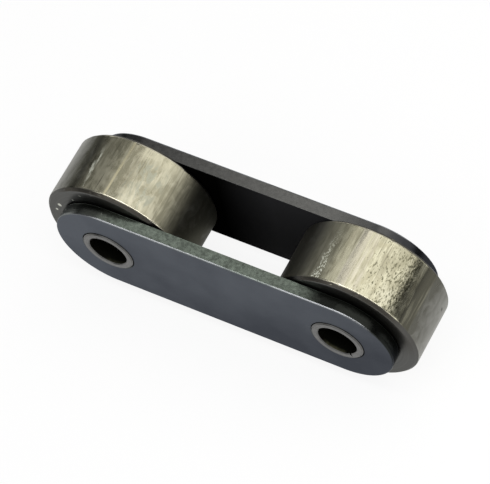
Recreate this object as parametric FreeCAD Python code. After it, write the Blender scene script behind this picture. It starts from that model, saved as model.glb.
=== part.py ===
import FreeCAD, Part
import os

# Roller link of a hollow pin conveyor chain, in millimetres.
# +X runs along the chain, +Y along the bushes and +Z up.
# The origin is midway between the two bush axes, halfway between the plates.

# Chain
pitch = 80.0                      # bush axis to bush axis
inner_width = 23.6                # between the side plates

# Side plates
plate_height = 37.0               # also the diameter of the rounded ends
plate_thickness = 4.4
plate_outer_edge_radius = 0.6     # rolled edge left by blanking, on the outer face
plate_inner_edge_break = 0.25
plate_hole_chamfer = 0.35         # on the outer face, around the bush

# Bushes
bush_outer_diameter = 17.5
bush_bore_diameter = 13.1
bush_proud = 0.4                  # how far each end stands out of its plate
bush_end_chamfer = 0.35
bush_bore_chamfer = 0.3
seam_depth = 1.3                  # V groove where the curled edges of the bush meet
left_seam_mouth = 0.2
right_seam_mouth = 0.75
left_seam_angle = 112.0           # degrees from +X towards +Z
right_seam_angle = -53.0

# Rollers
roller_diameter = 49.0
roller_rim_chamfer = 1.1
roller_bore_chamfer = 0.6
roller_running_clearance = 0.1    # radial, between bush and roller
roller_side_clearance = 0.5       # between each plate and the roller

# Worked out from the sizes above
half_pitch = pitch / 2
plate_radius = plate_height / 2
plate_inner_face = inner_width / 2
plate_outer_face = plate_inner_face + plate_thickness
bush_radius = bush_outer_diameter / 2
bore_radius = bush_bore_diameter / 2
bush_half_length = plate_outer_face + bush_proud
roller_radius = roller_diameter / 2
roller_bore_radius = bush_radius + roller_running_clearance
roller_half_width = plate_inner_face - roller_side_clearance

along_bush = FreeCAD.Vector(0, 1, 0)


def turned(profile, x):
    """Solid of revolution about a bush axis at x, from (radius, y) corners."""
    corners = [FreeCAD.Vector(x + radius, y, 0) for radius, y in profile]
    face = Part.Face(Part.makePolygon(corners + corners[:1]))
    return face.revolve(FreeCAD.Vector(x, 0, 0), along_bush, 360)


def chamfered_ring(inner, outer, half_length, inner_chamfer, outer_chamfer):
    """Profile of a ring with chamfered corners, as (radius, y) corners."""
    return [
        (inner, half_length - inner_chamfer),
        (inner + inner_chamfer, half_length),
        (outer - outer_chamfer, half_length),
        (outer, half_length - outer_chamfer),
        (outer, outer_chamfer - half_length),
        (outer - outer_chamfer, -half_length),
        (inner + inner_chamfer, -half_length),
        (inner, inner_chamfer - half_length),
    ]


def rounded_outline(y):
    """Side plate outline at y: two straight flanks and two half-round ends."""
    def corner(x_side, z_side):
        return FreeCAD.Vector(x_side * half_pitch, y, z_side * plate_radius)

    def tip(x_side):
        return FreeCAD.Vector(x_side * (half_pitch + plate_radius), y, 0)

    edges = [
        Part.Arc(corner(1, 1), tip(1), corner(1, -1)),
        Part.LineSegment(corner(1, -1), corner(-1, -1)),
        Part.Arc(corner(-1, -1), tip(-1), corner(-1, 1)),
        Part.LineSegment(corner(-1, 1), corner(1, 1)),
    ]
    return Part.Wire([edge.toShape() for edge in edges])


def edges_at(solid, y):
    """Edges of a solid that lie in the plane at y."""
    tolerance = 1e-6
    flat_edges = []
    for edge in solid.Edges:
        box = edge.BoundBox
        if abs(box.YMin - y) < tolerance and abs(box.YMax - y) < tolerance:
            flat_edges.append(edge)
    return flat_edges


def side_plate(side):
    """Side plate on the side of -Y (side = -1) or +Y (side = 1), with its two bush holes."""
    inner = side * plate_inner_face
    outer = side * plate_outer_face
    plate = Part.Face(rounded_outline(inner)).extrude(along_bush * (outer - inner))
    plate = plate.makeFillet(plate_outer_edge_radius, edges_at(plate, outer))
    plate = plate.makeChamfer(plate_inner_edge_break, edges_at(plate, inner))
    for x in (-half_pitch, half_pitch):
        hole = [
            (0, inner),
            (bush_radius, inner),
            (bush_radius, outer - side * plate_hole_chamfer),
            (bush_radius + plate_hole_chamfer, outer),
            (0, outer),
        ]
        plate = plate.cut(turned(hole, x))
    return plate


def bush(x, seam_mouth, seam_angle):
    """Curled bush with its seam, a V groove along the bore."""
    ring = chamfered_ring(bore_radius, bush_radius, bush_half_length, bush_bore_chamfer, bush_end_chamfer)
    root = bore_radius + seam_depth
    start = FreeCAD.Vector(0, -bush_half_length, 0)
    corners = [
        FreeCAD.Vector(0, 0, -seam_mouth / 2),
        FreeCAD.Vector(bore_radius, 0, -seam_mouth / 2),
        FreeCAD.Vector(root, 0, 0),
        FreeCAD.Vector(bore_radius, 0, seam_mouth / 2),
        FreeCAD.Vector(0, 0, seam_mouth / 2),
    ]
    groove = Part.Face(Part.makePolygon(corners + corners[:1])).extrude(along_bush * 2 * bush_half_length)
    groove.translate(start)
    groove.rotate(FreeCAD.Vector(0, 0, 0), along_bush, -seam_angle)
    groove.translate(FreeCAD.Vector(x, 0, 0))
    return turned(ring, x).cut(groove)


def roller(x):
    """Plain roller that turns on the bush at x."""
    ring = chamfered_ring(
        roller_bore_radius, roller_radius, roller_half_width, roller_bore_chamfer, roller_rim_chamfer
    )
    return turned(ring, x)


pieces = {
    "front_side_plate": side_plate(-1),
    "rear_side_plate": side_plate(1),
    "left_bush": bush(-half_pitch, left_seam_mouth, left_seam_angle),
    "right_bush": bush(half_pitch, right_seam_mouth, right_seam_angle),
    "left_roller": roller(-half_pitch),
    "right_roller": roller(half_pitch),
}

os.makedirs("parts", exist_ok=True)
for name, shape in pieces.items():
    shape.exportStep("parts/" + name + ".step")
    print(name, "solids", len(shape.Solids), "valid", shape.isValid(), "mm3", round(shape.Volume, 1))
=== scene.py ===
import bpy
import math
from mathutils import Matrix, Vector


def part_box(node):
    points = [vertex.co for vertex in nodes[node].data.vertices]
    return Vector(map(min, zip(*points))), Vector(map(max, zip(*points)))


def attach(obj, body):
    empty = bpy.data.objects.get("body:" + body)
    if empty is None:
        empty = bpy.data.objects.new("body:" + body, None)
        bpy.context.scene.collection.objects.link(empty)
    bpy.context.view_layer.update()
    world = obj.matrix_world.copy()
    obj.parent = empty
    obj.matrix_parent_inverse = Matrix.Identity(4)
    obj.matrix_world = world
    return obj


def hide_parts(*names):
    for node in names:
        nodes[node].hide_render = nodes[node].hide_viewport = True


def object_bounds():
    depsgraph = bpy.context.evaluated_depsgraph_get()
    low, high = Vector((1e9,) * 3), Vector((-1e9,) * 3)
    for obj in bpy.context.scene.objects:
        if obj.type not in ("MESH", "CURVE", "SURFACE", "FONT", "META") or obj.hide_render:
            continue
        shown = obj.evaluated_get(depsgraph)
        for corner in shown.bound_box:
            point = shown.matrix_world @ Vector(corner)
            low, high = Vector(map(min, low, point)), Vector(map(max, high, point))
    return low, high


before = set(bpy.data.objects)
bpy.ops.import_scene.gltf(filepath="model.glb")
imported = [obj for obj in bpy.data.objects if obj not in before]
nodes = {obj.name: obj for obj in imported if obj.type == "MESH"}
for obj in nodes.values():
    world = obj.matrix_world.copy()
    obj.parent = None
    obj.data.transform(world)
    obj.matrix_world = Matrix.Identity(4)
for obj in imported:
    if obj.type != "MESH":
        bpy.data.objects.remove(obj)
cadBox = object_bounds()
print("frame loaded:", ", ".join(sorted(nodes)))

mm = 0.001
tolerance = 1e-6  # points closer than this count as one
sharpAngle = math.radians(30)  # edges sharper than this stay sharp
noiseRange = (0.3, 0.7)  # most of a noise texture lies between these

# a fade in the dictionaries below is (start, end), or (start, end, value at start, value at end)


# node helpers: each works in the node tree of the values it gets
def newMaterial(name):
    material = bpy.data.materials.new(name)
    material.use_nodes = True
    tree = material.node_tree
    tree.nodes.clear()
    output = tree.nodes.new("ShaderNodeOutputMaterial")
    shader = tree.nodes.new("ShaderNodeBsdfPrincipled")
    plug(shader.outputs["BSDF"], output.inputs["Surface"])
    return material, tree, shader


def isSocket(value):
    return isinstance(value, bpy.types.NodeSocket)


def plug(value, socket):
    if isSocket(value):
        socket.id_data.links.new(value, socket)
    else:
        socket.default_value = value


def newNode(kind, *values):
    tree = next(value.id_data for value in values if isSocket(value))
    return tree.nodes.new(kind)


def calc(operation, a, b=0.0, clamp=False):
    made = newNode("ShaderNodeMath", a, b)
    made.operation = operation
    made.use_clamp = clamp
    plug(a, made.inputs[0])
    plug(b, made.inputs[1])
    return made.outputs[0]


def plus(a, b):
    return calc("ADD", a, b)


def times(product, *factors):
    for factor in factors:
        product = calc("MULTIPLY", product, factor)
    return product


def remap(value, low, high, toLow=0.0, toHigh=1.0):
    made = newNode("ShaderNodeMapRange", value)
    plug(value, made.inputs["Value"])
    for name, number in (("From Min", low), ("From Max", high), ("To Min", toLow), ("To Max", toHigh)):
        made.inputs[name].default_value = number
    return made.outputs["Result"]


def between(value, low, high, fade):
    # 1 from low to high, falling to 0 over the fade on each side
    return times(remap(value, low - fade, low), remap(value, high + fade, high))


def swing(grain, reach):
    # noise as a shift of up to the reach either way
    return remap(grain, *noiseRange, -reach, reach)


def mixColour(factor, a, b):
    made = newNode("ShaderNodeMix", factor, a, b)
    made.data_type = "RGBA"
    plug(factor, made.inputs[0])
    plug(a, made.inputs[6])
    plug(b, made.inputs[7])
    return made.outputs[2]


def mixValue(factor, a, b):
    made = newNode("ShaderNodeMix", factor, a, b)
    made.data_type = "FLOAT"
    plug(factor, made.inputs[0])
    plug(a, made.inputs[2])
    plug(b, made.inputs[3])
    return made.outputs[0]


def distance(a, b):
    return calc("SQRT", plus(times(a, a), times(b, b)))


def placed(tree, centreX=0.0, scale=(1, 1, 1), turn=0.0):
    # object coordinates about a bush axis, turned back with the roller
    coordinates = tree.nodes.new("ShaderNodeTexCoord")
    centred = tree.nodes.new("ShaderNodeMapping")
    centred.inputs["Location"].default_value = (-centreX, 0, 0)
    plug(coordinates.outputs["Object"], centred.inputs["Vector"])
    scaled = tree.nodes.new("ShaderNodeMapping")
    scaled.inputs["Scale"].default_value = scale
    scaled.inputs["Rotation"].default_value = (0, -turn, 0)
    plug(centred.outputs["Vector"], scaled.inputs["Vector"])
    return scaled.outputs["Vector"]


def noise(vector, scale, detail=4.0, roughness=0.55, distortion=0.0):
    made = newNode("ShaderNodeTexNoise", vector)
    plug(vector, made.inputs["Vector"])
    made.inputs["Scale"].default_value = scale
    made.inputs["Detail"].default_value = detail
    made.inputs["Roughness"].default_value = roughness
    made.inputs["Distortion"].default_value = distortion
    return made.outputs["Fac"]


def splitAxes(vector):
    made = newNode("ShaderNodeSeparateXYZ", vector)
    plug(vector, made.inputs[0])
    return made.outputs


def ringMarks(radius, scale, detail=4.0):
    # noise that only changes with the radius, as a lathe tool leaves it
    made = newNode("ShaderNodeTexNoise", radius)
    made.noise_dimensions = "1D"
    plug(radius, made.inputs["W"])
    made.inputs["Scale"].default_value = scale
    made.inputs["Detail"].default_value = detail
    return made.outputs["Fac"]


def facingSide(tree):
    # 0 where a surface turns round the bush axis, 1 on the flat faces
    geometry = tree.nodes.new("ShaderNodeNewGeometry")
    return calc("ABSOLUTE", splitAxes(geometry.outputs["Normal"])["Y"])


def bump(height, depth, shader):
    made = newNode("ShaderNodeBump", height)
    made.inputs["Distance"].default_value = depth
    plug(height, made.inputs["Height"])
    plug(made.outputs["Normal"], shader.inputs["Normal"])


# modelling helpers
def near(a, b):
    return abs(a - b) < tolerance


def activate(piece):
    bpy.ops.object.select_all(action="DESELECT")
    piece.select_set(True)
    bpy.context.view_layer.objects.active = piece


def selectVertices(piece, test):
    bpy.ops.mesh.select_mode(type="VERT")
    bpy.ops.mesh.select_all(action="DESELECT")
    bpy.ops.object.mode_set(mode="OBJECT")
    for vertex in piece.data.vertices:
        vertex.select = test(vertex.co)
    bpy.ops.object.mode_set(mode="EDIT")


def selectEdges(piece, test):
    # the test gets the two end points of each edge
    bpy.ops.mesh.select_mode(type="EDGE")
    bpy.ops.mesh.select_all(action="DESELECT")
    bpy.ops.object.mode_set(mode="OBJECT")
    points = piece.data.vertices
    for edge in piece.data.edges:
        a, b = edge.vertices
        edge.select = test(points[a].co, points[b].co)
    bpy.ops.object.mode_set(mode="EDIT")


def cutEdges(piece, cuts, test):
    selectEdges(piece, test)
    bpy.ops.mesh.subdivide(number_cuts=cuts)


def closeSkin():
    bpy.ops.mesh.select_all(action="SELECT")
    bpy.ops.mesh.remove_doubles(threshold=tolerance)
    bpy.ops.mesh.normals_make_consistent(inside=False)
    bpy.ops.object.mode_set(mode="OBJECT")


def applyPlace():
    bpy.ops.object.transform_apply(location=True, rotation=True, scale=True)


def applyModifier(piece, kind, **settings):
    activate(piece)
    modifier = piece.modifiers.new(kind.lower(), kind)
    for name, value in settings.items():
        setattr(modifier, name, value)
    bpy.ops.object.modifier_apply(modifier=modifier.name)


def copyPiece(piece, name):
    activate(piece)
    bpy.ops.object.duplicate()
    copied = bpy.context.object
    copied.name = name
    return copied


def roughen(piece, mark, weights):
    # press a noise pattern into the surface: weights are pairs of a vertex index and a share of the depth
    group = piece.vertex_groups.new(name=mark["name"])
    levels = {}
    for index, weight in weights:
        levels.setdefault(round(weight, 1), []).append(index)
    for weight, indices in levels.items():
        group.add(indices, weight, "REPLACE")
    bpy.ops.object.empty_add(location=(0, 0, 0))
    ruler = bpy.context.object
    cell = mm * mark["size"]
    ruler.scale = (cell, cell * mark["stretch"], cell)
    bpy.context.view_layer.update()
    pattern = bpy.data.textures.new(mark["name"], "CLOUDS")
    pattern.noise_scale = 1.0
    pattern.noise_depth = 2
    pattern.use_color_ramp = True
    deep, level = pattern.color_ramp.elements
    deep.color = (0, 0, 0, 1)
    level.color = (1, 1, 1, 1)
    deep.position, level.position = mark.get("ramp", (0.0, 1.0))
    applyModifier(
        piece, "DISPLACE", texture=pattern, texture_coords="OBJECT", texture_coords_object=ruler,
        vertex_group=group.name, strength=mm * mark["depth"], mid_level=1.0,
    )
    bpy.data.objects.remove(ruler)
    piece.vertex_groups.clear()


def finishShading(piece):
    activate(piece)
    bpy.ops.object.shade_smooth_by_angle(angle=sharpAngle)
    applyModifier(piece, "WEIGHTED_NORMAL", keep_sharp=True)


def fit(piece, node, body, material):
    piece.data.materials.clear()
    piece.data.materials.append(material)
    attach(piece, body)
    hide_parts(node)


# side plates: blanked from strip, so the outer face has a rolled edge and the wall is torn
plateShape = {
    "endSteps": 100,  # round each corner of the outline
    "flankCuts": 16,  # the straight flanks are cut twice by this number
    "flankShares": (0.5, 0.02),  # edges longer than these shares of the plate are cut
    "wallCuts": 12,
    "rolledEdge": 0.0006,
    "rolledSteps": 6,
    "innerBreak": 0.00025,
    "innerSteps": 2,
    "holeSteps": 160,
    "holeChamfer": 0.00035,
    "holeReach": 0.00001,  # points this close to the hole belong to its rim
    "smoothBand": 0.0010,  # of the wall, beside the rolled edge
    "skinInset": 0.00001,  # keeps the torn wall inside the outline
}
# sizes and depths in mm
plateMarks = {
    "front": [
        {"name": "tornWall", "size": 0.75, "stretch": 1.2, "depth": 0.055},
        {"name": "wavyWall", "size": 4.0, "stretch": 1.0, "depth": 0.05},
    ],
    "rear": [
        {"name": "tornWall", "size": 0.75, "stretch": 1.2, "depth": 0.012},
        {"name": "wavyWall", "size": 5.0, "stretch": 1.0, "depth": 0.04},
    ],
}


def measurePlate(node):
    low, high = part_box(node)
    endRadius = (high.z - low.z) / 2
    return {
        "length": high.x - low.x,
        "height": high.z - low.z,
        "endRadius": endRadius,
        "halfPitch": high.x - endRadius,
        "outer": low.y,
        "inner": high.y,
        "holeRadius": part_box("left_bush")[1].z,
    }


def drillHole(piece, size, x):
    bpy.ops.object.select_all(action="DESELECT")
    middle = (size["outer"] + size["inner"]) / 2
    depth = 2 * (size["inner"] - size["outer"])
    bpy.ops.mesh.primitive_cylinder_add(
        vertices=plateShape["holeSteps"], radius=size["holeRadius"], depth=depth,
        location=(x, middle, 0), rotation=(math.pi / 2, 0, 0),
    )
    drill = bpy.context.object
    applyModifier(piece, "BOOLEAN", operation="DIFFERENCE", object=drill)
    bpy.data.objects.remove(drill)


def buildFrontPlate(size):
    shape = plateShape
    outer, inner = size["outer"], size["inner"]
    inset = shape["skinInset"]
    bpy.ops.object.select_all(action="DESELECT")
    bpy.ops.mesh.primitive_plane_add(size=1, location=(0, outer, 0), rotation=(math.pi / 2, 0, 0))
    piece = bpy.context.object
    piece.name = "front_plate_blanked"
    piece.scale = (size["length"] - 2 * inset, size["height"] - 2 * inset, 1)
    applyPlace()
    bpy.ops.object.mode_set(mode="EDIT")
    # round the corners of the outline into half-round ends, then cut the flanks
    selectVertices(piece, lambda co: True)
    bpy.ops.mesh.bevel(offset=size["endRadius"] - inset, segments=shape["endSteps"], affect="VERTICES")
    bpy.ops.mesh.select_all(action="SELECT")
    bpy.ops.mesh.remove_doubles(threshold=tolerance)
    bpy.ops.mesh.delete(type="ONLY_FACE")
    for share in shape["flankShares"]:
        cutEdges(piece, shape["flankCuts"], lambda a, b: (a - b).length > share * size["length"])
    bpy.ops.mesh.select_all(action="SELECT")
    bpy.ops.mesh.edge_face_add()
    bpy.ops.mesh.extrude_region_move(TRANSFORM_OT_translate={"value": (0, inner - outer, 0)})
    # rolled outer edge, broken inner edge, fine wall
    selectEdges(piece, lambda a, b: near(a.y, outer) and near(b.y, outer))
    bpy.ops.mesh.bevel(offset=shape["rolledEdge"], segments=shape["rolledSteps"], affect="EDGES")
    selectEdges(piece, lambda a, b: near(a.y, inner) and near(b.y, inner))
    bpy.ops.mesh.bevel(offset=shape["innerBreak"], segments=shape["innerSteps"], affect="EDGES")
    cutEdges(piece, shape["wallCuts"], lambda a, b: abs(a.y - b.y) > (inner - outer) / 2)
    closeSkin()
    for x in (-size["halfPitch"], size["halfPitch"]):
        drillHole(piece, size, x)

    def onHoleRim(co):
        fromBush = math.hypot(abs(co.x) - size["halfPitch"], co.z)
        return near(co.y, outer) and abs(fromBush - size["holeRadius"]) < shape["holeReach"]

    bpy.ops.object.mode_set(mode="EDIT")
    selectEdges(piece, lambda a, b: onHoleRim(a) and onHoleRim(b))
    bpy.ops.mesh.bevel(offset=shape["holeChamfer"], segments=1, affect="EDGES")
    closeSkin()
    return piece


def tearWall(piece, size, marks):
    # the wall is smooth beside the rolled edge and fully torn a little further in
    weights = []
    for vertex in piece.data.vertices:
        pastBush = max(abs(vertex.co.x) - size["halfPitch"], 0)
        sunk = size["endRadius"] - math.hypot(pastBush, vertex.co.z)
        fromRoll = abs(size["outer"]) - plateShape["rolledEdge"] - abs(vertex.co.y)
        if sunk < 2 * plateShape["skinInset"] and fromRoll > 0:
            weights.append((vertex.index, min(1.0, fromRoll / plateShape["smoothBand"])))
    for mark in marks:
        roughen(piece, mark, weights)


# noise cells per metre
plateGrain = {
    "cloud": {"scale": 40, "detail": 5},
    "coat": {"scale": 1400, "detail": 3, "roughness": 0.6},
    "scratch": {"scale": 1300, "detail": 2, "distortion": 0.3},
    "scratchArea": {"scale": 90, "detail": 2},
    "mottle": {"scale": 900, "detail": 5, "roughness": 0.65},
    "greaseShadeEdge": {"scale": 300, "detail": 3},
    "flake": {"scale": 850, "detail": 3, "roughness": 0.6},
}
# facing fades are by facingSide, the others by metres along the chain unless a note says otherwise
plateLook = {
    "face": (0.052, 0.0565, 0.0655, 1),
    "facePale": (0.108, 0.1175, 0.1315, 1),
    "sheenSlant": -2.6,  # painted light: the coat is painted paler to the left and upwards, as a sheen
    "sheenFade": (0.06, -0.06, 0.0, 0.8),
    "paleClouds": (0.35, 0.65, -0.2, 0.4),  # by the cloud noise
    "faceFacing": (0.55, 0.90),
    "faceRoughness": (0.3, 0.7, 0.36, 0.44),  # by the cloud noise
    "coatRoughness": 0.05,
    "coatDepth": 0.000005,
    "coatFacing": (0.93, 0.99),
    "scratch": (0.150, 0.155, 0.160, 1),
    "scratchStretch": (0.08, 1, 1),
    "scratchLines": (0.66, 0.72, 0.0, 0.35),  # by their noise
    "scratchAreas": (0.50, 0.62),
    # painted shade: the inner faces get darker copies of the face colour, darkest to the left, as shade
    # between the plates
    "innerFaceShade": (0.0265, 0.0265, 0.0280, 1),
    "innerSkin": (0.0003, 0.0),  # metres from the inner face
    "creviceShade": (0.0012, 0.0012, 0.0010, 1),
    "creviceShadeEnd": (-0.014, 0.005),
    # painted shade and grime in the crack round each bush
    "seatShade": (0.036, 0.038, 0.041, 1),
    "seatShadeEdge": (0.0006, 0.0002),  # metres outside the bush
    "wallRoughness": 0.25,
    "wallMottle": (0.36, 0.64),  # by its noise
    "wallLitFade": (-0.035, 0.035),
    # grease and painted shade towards the plate ends, darker at the right end
    "greaseShade": (0.105, 0.112, 0.100, 1),
    "greaseShadeBlur": 0.002,
    "greaseRightShade": (-0.03, 0.03),
    "shadedInsideGloss": 0.0,
    # painted shade of the gap beside the rollers
    "gapShadeDepth": (0.0030, 0.0010),  # metres from the inner face
    "gapShadeAlong": (0.030, 0.040),
    "gapShadeLeft": (-0.052, -0.042, 0.40, 1.0),
    "flake": (0.34, 0.36, 0.33, 1),
    "flakeSpots": (0.64, 0.70),  # by their noise
    "flakeAlong": (-0.020, -0.032),
    "dust": (0.24, 0.25, 0.235, 1),
    "dustAlong": (-0.045, -0.053),
    # wear and painted highlight on the rolled edge
    "bareEdgeHighlight": (0.30, 0.31, 0.32, 1),
    "edgeFacing": ((0.12, 0.24), (0.96, 0.62)),
    "edgeDepth": (0.0030, 0.0036),  # metres from the inner face
    "edgeUp": (-0.004, 0.008),  # metres above the bushes
    "edgeEnds": ((0.0525, 0.0490), (-0.054, -0.045)),
    "edgeClouds": (0.2, 0.5),  # by the cloud noise
    "edgeCoated": (0.004, 0.018, 0.005),  # from, to and fade of the stretch that keeps its coat
    "coatedShare": 0.7,
    "edgeTint": (0.56, 0.57, 0.60, 1),
}
# the torn wall of each plate: its tones, how much their painted light follows the place along the chain and
# not the mottle, where the grease and painted shade near the rollers start and cover it in metres from the
# middle, how much sooner on the right, and its painted gap shade and dirt
wallLook = {
    "front": {
        "pale": (0.182, 0.214, 0.182, 1), "dark": (0.085, 0.099, 0.085, 1), "litShift": 0.0,
        "greaseShadeFrom": 0.031, "greaseShadeTo": 0.039, "greaseShadeLean": 0.10,
        "gapShade": (0.019, 0.0205, 0.0185, 1), "innerGapShade": 0.9, "flakes": 1.0, "dust": 0.4,
    },
    "rear": {
        "pale": (0.178, 0.178, 0.171, 1), "dark": (0.045, 0.045, 0.044, 1), "litShift": 0.8,
        "greaseShadeFrom": 0.036, "greaseShadeTo": 0.071, "greaseShadeLean": 0.45,
        "gapShade": (0.030, 0.031, 0.034, 1), "innerGapShade": 0.0, "flakes": 0.0, "dust": 0.0,
    },
}


def platePlaces(tree, size):
    here = placed(tree)
    place = splitAxes(here)
    alongChain = calc("ABSOLUTE", place["X"])
    return {
        "tree": tree,
        "here": here,
        "x": place["X"],
        "z": place["Z"],
        "alongChain": alongChain,
        "fromBush": distance(calc("SUBTRACT", alongChain, size["halfPitch"]), place["Z"]),
        "fromInner": calc("SUBTRACT", calc("ABSOLUTE", place["Y"]), abs(size["inner"])),
        "facing": facingSide(tree),
        "cloud": noise(here, **plateGrain["cloud"]),
        "coat": noise(here, **plateGrain["coat"]),
    }


def oxideFace(at, size, shadedInside):
    look = plateLook
    # painted light: a slant in x and z paints the face paler to the left and upwards as a sheen, and the
    # cloud noise adds random paleness
    slant = plus(at["x"], times(at["z"], look["sheenSlant"]))
    pale = plus(remap(slant, *look["sheenFade"]), remap(at["cloud"], *look["paleClouds"]))
    face = mixColour(pale, look["face"], look["facePale"])
    lines = noise(placed(at["tree"], scale=look["scratchStretch"]), **plateGrain["scratch"])
    areas = noise(at["here"], **plateGrain["scratchArea"])
    scratched = times(remap(lines, *look["scratchLines"]), remap(areas, *look["scratchAreas"]))
    face = mixColour(scratched, face, look["scratch"])
    # painted shade: the inner faces are painted darker than the outer face, fading to the darkest tone at
    # the left
    inner = mixColour(remap(at["x"], *look["creviceShadeEnd"]), look["creviceShade"], look["innerFaceShade"])
    face = mixColour(shadedInside, face, inner)
    # painted shade and grime: a dark ring on the hole chamfer round each bush, where plate and bush meet
    seatShadeEdge = [size["holeRadius"] + beyond for beyond in look["seatShadeEdge"]]
    return mixColour(remap(at["fromBush"], *seatShadeEdge), face, look["seatShade"])


def tornWall(at, wall):
    look = plateLook
    mottle = remap(noise(at["here"], **plateGrain["mottle"]), *look["wallMottle"])
    # painted light: the rear wall's pale share follows the place along the chain, paler to the right; the
    # front wall follows only its mottle
    litPaler = mixValue(wall["litShift"], mottle, remap(at["x"], *look["wallLitFade"]))
    torn = mixColour(litPaler, wall["dark"], wall["pale"])
    # grease and painted shade: the wall is painted darker towards each end, where the rollers shade it and
    # it reflects their dark faces, darkest at the right end
    blur = swing(noise(at["here"], **plateGrain["greaseShadeEdge"]), look["greaseShadeBlur"])
    reach = plus(at["alongChain"], times(at["x"], wall["greaseShadeLean"]))
    greasyShaded = remap(plus(reach, blur), wall["greaseShadeFrom"], wall["greaseShadeTo"])
    greaseShade = mixColour(remap(at["x"], *look["greaseRightShade"]), look["greaseShade"], wall["gapShade"])
    torn = mixColour(greasyShaded, torn, greaseShade)
    # painted shade: the wall is darkened near its inner edge towards the ends, as the shade of the gap, less
    # at the far left end
    gapShaded = times(
        remap(at["fromInner"], *look["gapShadeDepth"], 0.0, wall["innerGapShade"]),
        remap(at["alongChain"], *look["gapShadeAlong"]),
        remap(at["x"], *look["gapShadeLeft"]),
    )
    torn = mixColour(gapShaded, torn, wall["gapShade"])
    spots = noise(at["here"], **plateGrain["flake"])
    flakes = remap(spots, *look["flakeSpots"], 0.0, wall["flakes"])
    flakes = times(flakes, remap(at["x"], *look["flakeAlong"]))
    torn = mixColour(flakes, torn, look["flake"])
    dusty = remap(at["x"], *look["dustAlong"], 0.0, wall["dust"])
    return mixColour(dusty, torn, look["dust"])


def rubbedEdgeHighlight(at):
    # wear and painted highlight: the rolled edge is painted bright along the top, as rubbed bare metal and
    # as the highlight line it catches, apart from a stretch in the middle
    look = plateLook
    coated = times(between(at["x"], *look["edgeCoated"]), look["coatedShare"])
    return times(
        *(remap(at["facing"], *fade) for fade in look["edgeFacing"]),
        remap(at["fromInner"], *look["edgeDepth"]),
        remap(at["z"], *look["edgeUp"]),
        *(remap(at["x"], *fade) for fade in look["edgeEnds"]),
        calc("SUBTRACT", 1.0, coated),
        remap(at["cloud"], *look["edgeClouds"]),
    )


def plateSteel(side, size):
    look = plateLook
    material, tree, shader = newMaterial(side + "_plate_oxide")
    at = platePlaces(tree, size)
    shadedInside = remap(at["fromInner"], *look["innerSkin"])
    onFace = remap(at["facing"], *look["faceFacing"])
    colour = mixColour(onFace, tornWall(at, wallLook[side]), oxideFace(at, size, shadedInside))
    colour = mixColour(rubbedEdgeHighlight(at), colour, look["bareEdgeHighlight"])
    plug(colour, shader.inputs["Base Color"])
    # painted shade: the inner faces are no metal and have no gloss, so they stay dark
    plug(calc("SUBTRACT", 1.0, shadedInside), shader.inputs["Metallic"])
    shader.inputs["Specular IOR Level"].default_value = look["shadedInsideGloss"]
    shader.inputs["Specular Tint"].default_value = look["edgeTint"]
    satin = remap(at["cloud"], *look["faceRoughness"])
    satin = plus(satin, times(at["coat"], look["coatRoughness"]))
    plug(mixValue(onFace, look["wallRoughness"], satin), shader.inputs["Roughness"])
    flat = remap(at["facing"], *look["coatFacing"])
    bump(times(at["coat"], flat), look["coatDepth"], shader)
    return material


def addPlates():
    size = measurePlate("front_side_plate")
    front = buildFrontPlate(size)
    rear = copyPiece(front, "rear_plate_blanked")
    rear.rotation_euler.z = math.pi
    applyPlace()
    for side, piece in (("front", front), ("rear", rear)):
        tearWall(piece, size, plateMarks[side])
        finishShading(piece)
        fit(piece, side + "_side_plate", "link_frame", plateSteel(side, size))
        print(side, "plate blanked:", len(piece.data.polygons), "faces")


addPlates()


# rollers: turned rings with a worn tread
rollerShape = {
    "rimChamfer": 0.0011,
    "rimRounding": 0.00030,  # where the chamfer meets the tread and the face
    "roundingSteps": 4,
    "boreChamfer": 0.0006,
    "boreClearance": 0.0001,  # between bush and roller
    "spinSteps": 600,
    "treadCuts": 80,
    "faceCuts": 10,
    "faceEdge": 0.005,  # longer edges across the axis lie on a face
    "chamferCuts": 3,
    "treadInset": 0.00002,  # keeps the marked tread inside the rim circle
    "treadReach": 0.00001,  # points no deeper than this belong to the tread
    "rimReach": 1.2,  # chamfers deep that the rim's nicks reach
    "markFade": 5.0,  # degrees over which a mark begins and ends
    "markAlong": (-20, 20),  # mm along the axis, past both rims
    "markAlongFade": 4.0,
}
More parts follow.
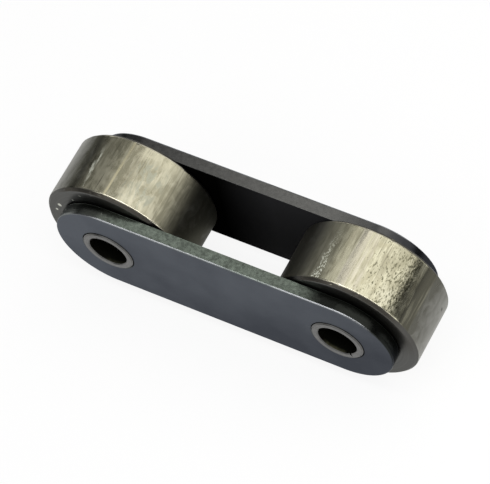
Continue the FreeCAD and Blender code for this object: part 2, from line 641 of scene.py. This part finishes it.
# marks on each tread, sizes and depths in mm: degrees from the top, and mm along the axis, that each covers
rollerMarks = {
    "left_roller": [
        {"name": "grindStreaks", "size": 0.55, "stretch": 14, "depth": 0.016, "angles": (-20, 56)},
        {"name": "underStreaksFront", "size": 0.55, "stretch": 14, "depth": 0.016, "angles": (118, 200)},
        {"name": "underStreaksBack", "size": 0.55, "stretch": 14, "depth": 0.016, "angles": (-200, -90)},
        {"name": "rollingWaves", "size": 1.60, "stretch": 2.4, "depth": 0.040, "angles": (4, 40)},
        {"name": "topScratches", "size": 0.45, "stretch": 22, "depth": 0.040, "angles": (-6, 8)},
        {"name": "scuffDents", "size": 0.55, "stretch": 2.5, "depth": 0.050,
         "angles": (-21, -18), "along": (-12, 2)},
        {"name": "rimNicks", "size": 1.60, "stretch": 1.0, "depth": 0.08, "ramp": (0.18, 0.36), "rim": True},
    ],
    "right_roller": [
        {"name": "grindStreaks", "size": 0.60, "stretch": 14, "depth": 0.014, "angles": (-34, 42)},
        {"name": "underStreaksFront", "size": 0.60, "stretch": 14, "depth": 0.014, "angles": (118, 200)},
        {"name": "underStreaksBack", "size": 0.60, "stretch": 14, "depth": 0.014, "angles": (-200, -90)},
        {"name": "softStreaks", "size": 1.80, "stretch": 5.0, "depth": 0.040, "angles": (-18, 14)},
        {"name": "finePits", "size": 0.36, "stretch": 1.2, "depth": 0.080,
         "angles": (8, 38), "ramp": (0.20, 0.38)},
        {"name": "densePits", "size": 0.40, "stretch": 1.4, "depth": 0.035,
         "angles": (20, 38), "ramp": (0.26, 0.42)},
        {"name": "scuffDents", "size": 0.55, "stretch": 1.8, "depth": 0.050,
         "angles": (-28, -22), "along": (-12, 4)},
        {"name": "rimNicks", "size": 1.90, "stretch": 1.0, "depth": 0.10, "ramp": (0.18, 0.36), "rim": True},
    ],
}


def measureRoller(node):
    low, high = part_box(node)
    return {
        "centreX": (low.x + high.x) / 2,
        "outer": high.z - rollerShape["treadInset"],
        "inner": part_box(node.replace("roller", "bush"))[1].z + rollerShape["boreClearance"],
        "halfWidth": high.y,
    }


def turnRing(size):
    # half section beside the axis, swept round it by a screw modifier with no pitch
    shape = rollerShape
    inner, outer, halfWidth = size["inner"], size["outer"], size["halfWidth"]
    chamferFoot = outer - shape["rimChamfer"]
    bpy.ops.object.select_all(action="DESELECT")
    bpy.ops.mesh.primitive_plane_add(size=1, location=((inner + outer) / 2, 0, 0))
    piece = bpy.context.object
    piece.scale = (outer - inner, 2 * halfWidth, 1)
    applyPlace()
    bpy.ops.object.mode_set(mode="EDIT")
    selectVertices(piece, lambda co: near(co.x, outer))
    bpy.ops.mesh.bevel(offset=shape["rimChamfer"], affect="VERTICES")
    selectVertices(piece, lambda co: co.x > chamferFoot - tolerance)
    bpy.ops.mesh.bevel(offset=shape["rimRounding"], segments=shape["roundingSteps"], affect="VERTICES")
    selectVertices(piece, lambda co: near(co.x, inner))
    bpy.ops.mesh.bevel(offset=shape["boreChamfer"], affect="VERTICES")
    bpy.ops.mesh.select_all(action="SELECT")
    bpy.ops.mesh.delete(type="ONLY_FACE")
    cutEdges(piece, shape["treadCuts"], lambda a, b: near(a.x, outer) and near(b.x, outer))
    cutEdges(piece, shape["faceCuts"], lambda a, b: near(a.y, b.y) and (a - b).length > shape["faceEdge"])
    cutEdges(piece, shape["chamferCuts"],
             lambda a, b: min(a.x, b.x) > chamferFoot and abs(a.x - b.x) > shape["rimRounding"])
    bpy.ops.object.mode_set(mode="OBJECT")
    applyModifier(piece, "SCREW", axis="Y", steps=shape["spinSteps"], render_steps=shape["spinSteps"],
                  use_merge_vertices=True, merge_threshold=tolerance)
    bpy.ops.object.mode_set(mode="EDIT")
    closeSkin()
    return piece


def bandWeight(value, band, fade):
    # 1 inside the band, falling to 0 over the fade across each end
    low, high = band
    return max(0.0, min(1.0, (value - low) / fade + 0.5, (high - value) / fade + 0.5))


def wearRoller(piece, size, marks):
    shape = rollerShape
    treadEnd = size["halfWidth"] - shape["rimChamfer"]
    tread, rim = [], []
    for vertex in piece.data.vertices:
        x, y, z = vertex.co
        sunk = size["outer"] - math.hypot(x, z)
        if sunk < shape["treadReach"] and abs(y) <= treadEnd:
            tread.append((vertex.index, math.degrees(math.atan2(x, z)), y / mm))
        if sunk < shape["rimReach"] * shape["rimChamfer"] and abs(y) > treadEnd - shape["rimRounding"]:
            rim.append((vertex.index, 1.0))
    for mark in marks:
        if "rim" in mark:
            roughen(piece, mark, rim)
            continue
        along = mark.get("along", shape["markAlong"])
        weights = []
        for index, angle, y in tread:
            weight = bandWeight(angle, mark["angles"], shape["markFade"])
            weight *= bandWeight(y, along, shape["markAlongFade"])
            if weight > 0:
                weights.append((index, weight))
        roughen(piece, mark, weights)


# grain of the steel: noise cells per metre, and how much a pattern is drawn out along the axis
rollerGrain = {
    "fineStreak": {"scale": 1500, "stretch": 0.09, "detail": 3, "swirl": 0.3},
    "broadStreak": {"scale": 480, "stretch": 0.13, "detail": 3, "swirl": 0.5},
    "blotch": {"scale": 260, "stretch": 0.6, "detail": 5, "swirl": 0.8},
    "hairline": {"scale": 2300, "stretch": 0.03, "detail": 2, "swirl": 0.4},
    "sideMottle": {"scale": 300, "stretch": 0.6, "detail": 5, "swirl": 0.6},
    "ragged": {"scale": 900, "stretch": 0.45, "detail": 4},
    "crumb": {"scale": 1600, "stretch": 1.0, "detail": 2},
}
# the facing fades are by facingSide, the angles in degrees from the top of the roller
rollerLook = {
    "face": (0.104, 0.1045, 0.101, 1),
    "facePale": (0.126, 0.1265, 0.122, 1),
    "faceRings": 900,  # lathe rings per metre of radius
    "ringContrast": (0.35, 0.65),
    "ringDepth": 0.00001,
    "ringFacing": (0.5, 0.6),
    "faceRoughness": 0.33,
    "faceFacing": (0.80, 0.92),
    "faceShade": 0.55,
    "shadeAngles": (5, 70, 25),  # from, to and fade
    "fleck": (0.62, 0.63, 0.56, 1),
    "fleckRagged": 0.2,  # mm
    "fleckSolid": 0.6,  # of its radius
    "fleckSide": (0.0, -0.005),  # metres along the axis: the near face
    # painted shade colour for the chamfer and the shaded part of the face
    "chamferShade": (0.068, 0.063, 0.054, 1),
    "chamferShadeAngles": (-35, 38, 14),
    "treadFacing": (0.48, 0.66),
    # painted highlight with polish on the rim rounding
    "rim": (0.70, 0.66, 0.53, 1),
    "rimFacing": ((0.08, 0.20), (0.60, 0.45)),
    "rimRoughness": 0.16,
    "hairlines": (0.60, 0.72, 0.0, 0.7),
    "speck": (0.11, 0.105, 0.065, 1),
    "speckSoft": 0.09,
    "speckFade": 3,
    "scuff": (0.62, 0.64, 0.55, 1),
    "scuffFade": 0.6,
    "scuffFacing": (0.35, 0.15),
    "scuffRoughness": 0.6,
    "scuffMetal": 0.3,
    "patchAlongFade": 2.5,  # mm
    "unpolished": 0.45,  # roughness away from the polished stretches
    "polishFade": 12,
    "polishBlotches": (0.35, 0.65),
    "underFront": (114, 134),  # degrees over which the wear of the underside begins
    "underBack": (-84, -106),
    "edgeTint": (0.52, 0.52, 0.51, 1),
}
# angles are degrees from the top of the roller, places along the axis mm from its middle, far side positive
# turn is how many degrees the worn roller stands turned about its bush, and its angles turn with it
# flecks are crumbs of dirt on the near face: angle, mm from the axis and radius in mm
# the side tones are painted shade off the tread, growing paler over their angles towards the grazing edge as
# a painted reflection
treadLook = {
    "left_roller": {
        "turn": -1.2,
        "flecks": ((-65.2, 20.4, 0.85), (-75.8, 20.9, 0.55), (-38.8, 19.4, 0.40), (-24.1, 21.4, 0.42)),
        "bright": (0.44, 0.420, 0.319, 1), "dull": (0.26, 0.247, 0.178, 1),
        "scratch": (0.13, 0.125, 0.092, 1), "contrast": (0.44, 0.56), "streaks": 0.26,
        "side": (0.078, 0.077, 0.061, 1), "sidePaleReflection": (0.46, 0.457, 0.429, 1), "mottle": 0.13,
        "litPaler": (-33, -52), "wornLitFrom": (-28, -17), "wornLitTo": (62, 46), "polished": (-40, 32),
        "roughness": (0.22, 0.36), "rimHighlight": 1.0, "rimHighlightEnd": (58, 46),
        "specks": {
            "angles": (10, 38), "scale": 1500, "stretch": 0.45, "from": 0.66, "thicker": 0.03, "share": 0.6,
        },
        "scuffs": {
            "angles": (-20.6, -18.6), "along": (-11, 2), "fade": 5, "ragged": 1.0,
            "scale": 1500, "stretch": 0.16, "from": 0.44, "to": 0.58, "share": 0.75,
        },
        "patches": {
            "yellowLine": {
                "angles": (0.4, 1.6), "fade": 0.5, "colour": (0.60, 0.55, 0.37, 1), "share": 0.7,
                "scale": 900, "stretch": 0.015, "from": 0.30, "to": 0.45,
            },
            "brownStripes": {
                "angles": (3, 13.5), "along": (-4, 12), "fade": 1.5, "colour": (0.25, 0.225, 0.155, 1),
                "share": 0.45, "scale": 1500, "stretch": 0.05, "from": 0.50, "to": 0.58,
            },
            "farSmudge": {
                "angles": (-14, -2), "along": (4, 8), "fade": 3, "colour": (0.15, 0.142, 0.10, 1),
                "share": 0.25, "scale": 380, "stretch": 0.7, "from": 0.44, "to": 0.60, "swirl": 1.0,
            },
            "rimNotch": {
                "angles": (4.0, 4.8), "along": (10.0, 10.6), "alongFade": 0.5, "fade": 1.4, "share": 1.0,
                "colour": (0.045, 0.042, 0.034, 1), "scale": 700, "stretch": 0.5, "from": 0.0, "to": 0.4,
            },
            "farCream": {
                "angles": (12, 38), "along": (7.5, 12), "fade": 5, "colour": (0.48, 0.457, 0.345, 1),
                "share": 0.75, "scale": 300, "stretch": 0.7, "from": 0.35, "to": 0.60,
            },
            "coolWisps": {
                "angles": (15, 36), "along": (-9, 5), "fade": 5, "colour": (0.29, 0.295, 0.235, 1),
                "share": 0.85, "scale": 430, "stretch": 0.42, "from": 0.50, "to": 0.62, "swirl": 1.6,
            },
            "nearCream": {
                "angles": (15, 29), "along": (-12, -6), "fade": 4, "colour": (0.56, 0.535, 0.415, 1),
                "share": 0.6, "scale": 420, "stretch": 0.5, "from": 0.38, "to": 0.58,
            },
        },
    },
    "right_roller": {
        "turn": 5.8,
        "flecks": (),
        "bright": (0.53, 0.510, 0.382, 1), "dull": (0.34, 0.322, 0.232, 1),
        "scratch": (0.19, 0.175, 0.125, 1), "contrast": (0.43, 0.56), "streaks": 0.34,
        "side": (0.120, 0.118, 0.100, 1), "sidePaleReflection": (0.47, 0.467, 0.439, 1), "mottle": 0.17,
        "litPaler": (62, 94), "wornLitFrom": (-43, -17), "wornLitTo": (57, 53), "polished": (-24, 60),
        "roughness": (0.18, 0.30), "rimHighlight": 0.45, "rimHighlightEnd": (40, 32),
        "specks": {
            "angles": (5, 39), "scale": 2100, "stretch": 0.42, "from": 0.595, "thicker": 0.13, "share": 0.9,
        },
        "scuffs": {
            "angles": (-27, -22.5), "along": (-12, -6), "fade": 14, "ragged": 2.0,
            "scale": 3000, "stretch": 0.42, "from": 0.495, "to": 0.57, "share": 1.0,
        },
        "patches": {
            "palePink": {
                "angles": (-6.5, 6), "fade": 2, "colour": (0.57, 0.535, 0.450, 1), "share": 0.65,
                "scale": 800, "stretch": 0.06, "from": 0.46, "to": 0.58,
            },
            "paleStreak": {
                "angles": (-5.5, -2.5), "fade": 1.2, "colour": (0.54, 0.51, 0.41, 1), "share": 0.7,
                "scale": 800, "stretch": 0.06, "from": 0.2, "to": 0.4,
            },
            "brownStreaks": {
                "angles": (-10, 5), "along": (-6, 12), "fade": 3, "colour": (0.31, 0.275, 0.20, 1),
                "share": 0.3, "scale": 620, "stretch": 0.08, "from": 0.52, "to": 0.62,
            },
            "duskSpots": {
                "angles": (6, 20), "fade": 3, "colour": (0.37, 0.345, 0.24, 1), "share": 0.6,
                "scale": 420, "stretch": 0.5, "from": 0.52, "to": 0.62, "swirl": 1.2,
            },
            "farDusk": {
                "angles": (22, 38), "along": (4, 12), "fade": 4, "colour": (0.30, 0.285, 0.20, 1),
                "share": 0.6, "scale": 420, "stretch": 0.6, "from": 0.35, "to": 0.60,
            },
            "nearCream": {
                "angles": (23, 31), "along": (-12, -4), "fade": 3, "colour": (0.62, 0.60, 0.47, 1),
                "share": 0.6, "scale": 500, "stretch": 0.6, "from": 0.40, "to": 0.58,
            },
            # painted shade: a dark band where the tread would otherwise show a bright reflection
            "shadeBand": {
                "angles": (46, 55.5), "fade": 2, "colour": (0.088, 0.085, 0.066, 1), "share": 0.96,
                "scale": 700, "stretch": 0.07, "from": 0.0, "to": 0.42,
            },
            "nick": {
                "angles": (83.4, 83.8), "along": (5.6, 5.8), "alongFade": 0.55, "fade": 1.7, "share": 1.0,
                "colour": (0.08, 0.077, 0.070, 1), "scale": 700, "stretch": 0.5, "from": 0.0, "to": 0.4,
            },
        },
    },
}


def rollerPlaces(tree, centreX, turn):
    here = splitAxes(placed(tree, centreX, turn=turn))
    return {
        "tree": tree,
        "centreX": centreX,
        "turn": turn,
        "x": here["X"],
        "y": here["Y"],
        "z": here["Z"],
        "fromAxis": distance(here["X"], here["Z"]),
        "angle": times(calc("ARCTAN2", here["X"], here["Z"]), math.degrees(1)),
        "along": times(here["Y"], 1 / mm),
        "facing": facingSide(tree),
    }


def grainOf(at, look):
    drawnOut = placed(at["tree"], at["centreX"], (1, look["stretch"], 1), at["turn"])
    return noise(drawnOut, look["scale"], detail=look.get("detail", 4), distortion=look.get("swirl", 0))


def patchMask(at, patch):
    grain = grainOf(at, patch)
    fade = patch["fade"]
    mask = between(plus(at["angle"], swing(grain, fade)), *patch["angles"], fade)
    if "along" in patch:
        alongFade = patch.get("alongFade", rollerLook["patchAlongFade"])
        mask = times(mask, between(at["along"], *patch["along"], alongFade))
    return times(mask, remap(grain, patch["from"], patch["to"], 0.0, patch["share"]))


def speckMask(at, specks):
    # dark specks that thicken from the start of their angles to the end
    start, angles = specks["from"], specks["angles"]
    dots = plus(grainOf(at, specks), remap(at["angle"], *angles, 0.0, specks["thicker"]))
    dots = remap(dots, start, start + rollerLook["speckSoft"], 0.0, specks["share"])
    return times(dots, between(at["angle"], *angles, rollerLook["speckFade"]))


def scuffMask(at, scuffs):
    wander = swing(grainOf(at, rollerGrain["ragged"]), scuffs["ragged"])
    return times(
        between(plus(at["angle"], wander), *scuffs["angles"], rollerLook["scuffFade"]),
        between(at["along"], *scuffs["along"], scuffs["fade"]),
        remap(grainOf(at, scuffs), scuffs["from"], scuffs["to"], 0.0, scuffs["share"]),
        remap(at["facing"], *rollerLook["scuffFacing"]),
    )


def fleckMask(at, flecks):
    ragged = swing(grainOf(at, rollerGrain["crumb"]), mm * rollerLook["fleckRagged"])
    mask = 0.0
    for angle, fromAxis, radius in flecks:
        turn = math.radians(angle)
        offX = calc("SUBTRACT", at["x"], mm * fromAxis * math.sin(turn))
        offZ = calc("SUBTRACT", at["z"], mm * fromAxis * math.cos(turn))
        away = plus(distance(offX, offZ), ragged)
        solid = mm * radius * rollerLook["fleckSolid"]
        mask = calc("MAXIMUM", mask, remap(away, mm * radius, solid))
    return times(mask, remap(at["y"], *rollerLook["fleckSide"]))


def wornSteel(at, tone, blotch):
    # streaks along the axis, with blotches between them and hairline scratches over them
    share = tone["streaks"]
    fine = grainOf(at, rollerGrain["fineStreak"])
    broad = grainOf(at, rollerGrain["broadStreak"])
    streaks = times(plus(fine, broad), share)
    mixed = plus(streaks, times(blotch, 1 - 2 * share))
    wornAndLit = mixColour(remap(mixed, *tone["contrast"]), tone["dull"], tone["bright"])
    hairlines = remap(grainOf(at, rollerGrain["hairline"]), *rollerLook["hairlines"])
    return mixColour(hairlines, wornAndLit, tone["scratch"])


def treadColour(at, tone, wornAndLit, blotch):
    # painted shade and painted reflection: off the worn tread the sides are painted dark where they face
    # away from the lamps, growing pale towards the grazing edge as a painted reflection, with faint mottling
    mottle = swing(grainOf(at, rollerGrain["sideMottle"]), tone["mottle"])
    pale = plus(remap(at["angle"], *tone["litPaler"]), mottle)
    side = mixColour(pale, tone["side"], tone["sidePaleReflection"])
    tread = mixColour(wornAndLit, side, wornSteel(at, tone, blotch))
    for patch in tone["patches"].values():
        tread = mixColour(patchMask(at, patch), tread, patch["colour"])
    return mixColour(speckMask(at, tone["specks"]), tread, rollerLook["speck"])


def turnedFace(at, tone, rings):
    look = rollerLook
    face = mixColour(remap(rings, *look["ringContrast"]), look["face"], look["facePale"])
    shaded = times(between(at["angle"], *look["shadeAngles"]), look["faceShade"])
    face = mixColour(shaded, face, look["chamferShade"])
    if tone["flecks"]:
        face = mixColour(fleckMask(at, tone["flecks"]), face, look["fleck"])
    # painted shade: over the top angles the chamfer is painted darker
    chamferShade = mixColour(between(at["angle"], *look["chamferShadeAngles"]), face, look["chamferShade"])
    return mixColour(remap(at["facing"], *look["faceFacing"]), chamferShade, face)


def rollerSteel(name, size):
    look = rollerLook
    tone = treadLook[name]
    material, tree, shader = newMaterial(name + "_steel")
    at = rollerPlaces(tree, size["centreX"], math.radians(tone["turn"]))
    angle, facing = at["angle"], at["facing"]
    under = calc("MAXIMUM", remap(angle, *look["underFront"]), remap(angle, *look["underBack"]))
    # wear and painted light: the angles of the worn tread are where the lamps light it from above; the sides
    # outside them get the painted shade
    wornAndLit = times(remap(angle, *tone["wornLitFrom"]), remap(angle, *tone["wornLitTo"]))
    wornAndLit = calc("MAXIMUM", wornAndLit, under)
    blotch = grainOf(at, rollerGrain["blotch"])
    scuffed = scuffMask(at, tone["scuffs"])
    # painted highlight with polish: the rim rounding is painted bright where it catches the light, only as
    # far round as the highlight reaches and weaker on the right roller
    rim = times(
        *(remap(facing, *fade) for fade in look["rimFacing"]),
        wornAndLit,
        remap(angle, *tone["rimHighlightEnd"], 0.0, tone["rimHighlight"]),
    )
    rings = ringMarks(at["fromAxis"], look["faceRings"])
    tread = treadColour(at, tone, wornAndLit, blotch)
    tread = mixColour(scuffed, tread, look["scuff"])
    tread = mixColour(rim, tread, look["rim"])
    offTread = remap(facing, *look["treadFacing"])
    colour = mixColour(offTread, tread, turnedFace(at, tone, rings))
    plug(colour, shader.inputs["Base Color"])
    plug(remap(scuffed, 0.0, 1.0, 1.0, look["scuffMetal"]), shader.inputs["Metallic"])
    shader.inputs["Specular Tint"].default_value = look["edgeTint"]
    polished = calc("MAXIMUM", between(angle, *tone["polished"], look["polishFade"]), under)
    bright = remap(blotch, *look["polishBlotches"], *tone["roughness"])
    roughness = mixValue(polished, look["unpolished"], bright)
    roughness = mixValue(scuffed, roughness, look["scuffRoughness"])
    roughness = mixValue(rim, roughness, look["rimRoughness"])
    onFace = remap(facing, *look["ringFacing"])
    plug(mixValue(onFace, roughness, look["faceRoughness"]), shader.inputs["Roughness"])
    bump(times(rings, onFace), look["ringDepth"], shader)
    return material


def addRollers():
    size = {side: measureRoller(side + "_roller") for side in ("left", "right")}
    left = turnRing(size["left"])
    left.name = "left_roller_worn"
    right = copyPiece(left, "right_roller_worn")
    for side, piece in (("left", left), ("right", right)):
        node = side + "_roller"
        wearRoller(piece, size[side], rollerMarks[node])
        activate(piece)
        piece.location.x = size[side]["centreX"]
        piece.rotation_euler.y = math.radians(treadLook[node]["turn"])
        applyPlace()
        finishShading(piece)
        fit(piece, node, node, rollerSteel(node, size[side]))
        print(side, "roller worn:", len(piece.data.polygons), "faces")


addRollers()


# bushes: satin tube ends, greasy bores painted near black as painted shade, with dirt in the lip
bushLook = {
    "face": (0.095, 0.094, 0.091, 1),
    "facePale": (0.145, 0.143, 0.138, 1),
    "faceRings": 1500,  # lathe rings per metre of radius
    "ringShare": 0.5,  # of the tone, the rest is grain
    "grain": 700,  # noise cells per metre
    "contrast": (0.38, 0.62),
    "endFacing": (0.25, 0.45),  # by facingSide
    # painted shade: the bore colour is near black
    "bore": (0.003, 0.003, 0.002, 1),
    "boreRadius": 0.00655,
    "boreGloss": 0.08,
    "dirt": (0.095, 0.094, 0.056, 1),
    "dirtDepth": 0.0014,  # into the bore
    "dirtClots": (0.3, 0.6, 0.3, 1.0),  # by the grain
    "dirtLip": (0.0004, 0.0001),  # metres outside the bore
    "dirtAcross": (-0.0040, 0.0008, 0.0015),  # from, to and fade
    "dirtSides": (-0.01, 0.01, 0.35, 1.0),  # less of it in the left bush
    "roughness": 0.36,
}


def bushSteel():
    look = bushLook
    low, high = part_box("right_bush")
    halfPitch = (low.x + high.x) / 2
    material, tree, shader = newMaterial("bush_satin")
    here = placed(tree)
    place = splitAxes(here)
    besideAxis = calc("SUBTRACT", calc("ABSOLUTE", place["X"]), halfPitch)
    fromAxis = distance(besideAxis, place["Z"])
    grain = noise(here, look["grain"])
    rings = times(ringMarks(fromAxis, look["faceRings"]), look["ringShare"])
    tone = plus(rings, times(grain, 1 - look["ringShare"]))
    face = mixColour(remap(tone, *look["contrast"]), look["face"], look["facePale"])
    fromEnd = calc("SUBTRACT", high.y, calc("ABSOLUTE", place["Y"]))
    dirty = times(
        remap(fromEnd, look["dirtDepth"], 0.0),
        remap(grain, *look["dirtClots"]),
        between(besideAxis, *look["dirtAcross"]),
        remap(place["X"], *look["dirtSides"]),
        remap(fromAxis, *(look["boreRadius"] + beyond for beyond in look["dirtLip"])),
    )
    # painted shade: the bore is painted near black, with little gloss, as though deep in shade
    inside = mixColour(dirty, look["bore"], look["dirt"])
    onEnd = remap(facingSide(tree), *look["endFacing"])
    plug(mixColour(onEnd, inside, face), shader.inputs["Base Color"])
    plug(onEnd, shader.inputs["Metallic"])
    shader.inputs["Roughness"].default_value = look["roughness"]
    shader.inputs["Specular IOR Level"].default_value = look["boreGloss"]
    return material


def dressBushes():
    material = bushSteel()
    for node in ("left_bush", "right_bush"):
        nodes[node].data.materials.clear()
        nodes[node].data.materials.append(material)


dressBushes()
print("bushes dressed")


# floor: pale paper that reads as white and keeps the shadow, turned up at its edge as a low backdrop
floorLook = {
    "radius": 2.0,
    "steps": 96,
    "wallHeight": 0.18,
    "wallFoot": 0.12,  # radius of the curve from floor to wall
    "footSteps": 8,
    "colour": (0.95, 0.95, 0.95, 1),
    "glow": 0.88,  # share of white that camera and reflections see
}


def layPaper():
    look = floorLook
    level = cadBox[0].z
    bpy.ops.object.select_all(action="DESELECT")
    bpy.ops.mesh.primitive_circle_add(
        vertices=look["steps"], radius=look["radius"], fill_type="NGON", location=(0, 0, level),
    )
    floor = bpy.context.object
    floor.name = "floor"
    applyPlace()
    bpy.ops.object.mode_set(mode="EDIT")
    bpy.ops.mesh.select_mode(type="EDGE")
    bpy.ops.mesh.select_all(action="SELECT")
    bpy.ops.mesh.extrude_edges_move(TRANSFORM_OT_translate={"value": (0, 0, look["wallHeight"])})
    selectEdges(floor, lambda a, b: near(a.z, level) and near(b.z, level))
    bpy.ops.mesh.bevel(offset=look["wallFoot"], segments=look["footSteps"], affect="EDGES")
    bpy.ops.object.mode_set(mode="OBJECT")
    bpy.ops.object.shade_smooth_by_angle(angle=sharpAngle)
    return floor


def floorPaper():
    material, tree, shader = newMaterial("floor_paper")
    shader.inputs["Base Color"].default_value = floorLook["colour"]
    shader.inputs["Roughness"].default_value = 1.0
    shader.inputs["Specular IOR Level"].default_value = 0.0
    white = tree.nodes.new("ShaderNodeEmission")
    rays = tree.nodes.new("ShaderNodeLightPath")
    seen = plus(rays.outputs["Is Camera Ray"], rays.outputs["Is Glossy Ray"])
    seen = calc("ADD", seen, rays.outputs["Is Transmission Ray"], clamp=True)
    blended = tree.nodes.new("ShaderNodeMixShader")
    plug(times(seen, floorLook["glow"]), blended.inputs[0])
    plug(shader.outputs["BSDF"], blended.inputs[1])
    plug(white.outputs["Emission"], blended.inputs[2])
    output = next(made for made in tree.nodes if made.type == "OUTPUT_MATERIAL")
    plug(blended.outputs[0], output.inputs["Surface"])
    return material


floor = layPaper()
floor.data.materials.append(floorPaper())
print("floor laid")


# lights: where each one hangs, what it points at, which way its width runs, its size and its radiance
lampDefault = {"along": (1, 0, 0), "colour": (1.0, 1.0, 1.0)}
lightSetup = {
    "overhead_softbox": {
        "place": (0.187, 0.165, 0.330), "aim": (0.0865, 0.02, 0.02), "width": 0.543, "depth": 0.30,
        "radiance": 1.55, "colour": (1.0, 0.985, 0.95),
    },
    "shoulder_softbox": {
        "place": (-0.148, 0.165, 0.330), "aim": (-0.148, 0.02, 0.02), "width": 0.125, "depth": 0.30,
        "radiance": 0.95, "colour": (1.0, 0.99, 0.96),
    },
    "side_softbox": {
        "place": (-0.300, 0.150, 0.250), "aim": (0, 0, 0.02), "width": 0.24, "depth": 0.25,
        "radiance": 0.30, "colour": (1.0, 1.0, 0.98),
    },
    "edge_lamp": {
        "place": (0.120, -0.120, 0.520), "aim": (0.05, 0, 0), "width": 0.86, "depth": 0.14, "radiance": 4.0,
    },
    "front_fill": {
        "place": (-0.20, -0.62, 0.62), "aim": (0, -0.05, 0), "width": 0.70, "depth": 0.35, "radiance": 2.2,
    },
    "front_panel": {
        "place": (0, -0.85, 0.35), "aim": (0, 0, 0.02), "width": 1.10, "depth": 0.45, "radiance": 0.8,
    },
    "rear_panel": {
        "place": (0, 0.85, 0.25), "aim": (0, 0, 0.02), "width": 0.80, "depth": 0.40, "radiance": 0.8,
    },
    "right_panel": {
        "place": (0.80, -0.38, 0.26), "aim": (0, 0, 0.02), "width": 0.80, "depth": 0.34, "radiance": 1.6,
        "along": (0, 1, 0),
    },
    "top_panel": {
        "place": (0, -0.05, 0.90), "aim": (0, -0.01, 0), "width": 0.45, "depth": 0.30, "radiance": 0.8,
    },
}
worldLook = {"colour": (0.12, 0.123, 0.126, 1), "strength": 1.0}


def addLights():
    for name, setup in lightSetup.items():
        look = {**lampDefault, **setup}
        away = (Vector(look["place"]) - Vector(look["aim"])).normalized()
        along = Vector(look["along"])
        across = (along - away * away.dot(along)).normalized()
        turn = Matrix((across, away.cross(across), away)).transposed()
        bpy.ops.object.light_add(type="AREA", location=look["place"], rotation=turn.to_euler())
        lamp = bpy.context.object
        lamp.name = name
        lamp.visible_camera = False
        lamp.data.shape = "RECTANGLE"
        lamp.data.size = look["width"]
        lamp.data.size_y = look["depth"]
        lamp.data.energy = look["radiance"] * math.pi * look["width"] * look["depth"]
        lamp.data.color = look["colour"]


def addWorld():
    scene = bpy.context.scene
    world = scene.world or bpy.data.worlds.new("studio")
    scene.world = world
    world.use_nodes = True
    background = world.node_tree.nodes["Background"]
    background.inputs["Color"].default_value = worldLook["colour"]
    background.inputs["Strength"].default_value = worldLook["strength"]
    scene.view_settings.view_transform = "Standard"


addLights()
addWorld()
print("lights set")


# camera, fitted to the outlines in the photograph
cameraLook = {
    "azimuth": 39.642,
    "elevation": 58.186,
    "roll": -14.222,
    "distance": 0.880,
    "aim": (0.00057, 0.00047, 0.00625),
    "focalPixels": 2869.7,
    "imageWidth": 490,
    "sensor": 36.0,
    "clipStart": 0.01,
}


def addCamera():
    look = cameraLook
    azimuth = math.radians(look["azimuth"])
    elevation = math.radians(look["elevation"])
    back = Vector((
        math.sin(azimuth) * math.cos(elevation),
        -math.cos(azimuth) * math.cos(elevation),
        math.sin(elevation),
    ))
    bpy.ops.object.camera_add(location=Vector(look["aim"]) + back * look["distance"])
    camera = bpy.context.object
    camera.name = "photo_camera"
    turn = (-back).to_track_quat("-Z", "Y").to_matrix()
    roll = Matrix.Rotation(math.radians(look["roll"]), 3, "Z")
    camera.rotation_euler = (turn @ roll).to_euler()
    camera.data.sensor_width = look["sensor"]
    camera.data.lens = look["focalPixels"] / look["imageWidth"] * look["sensor"]
    camera.data.clip_start = look["clipStart"]
    bpy.context.scene.camera = camera


addCamera()
print("camera set")
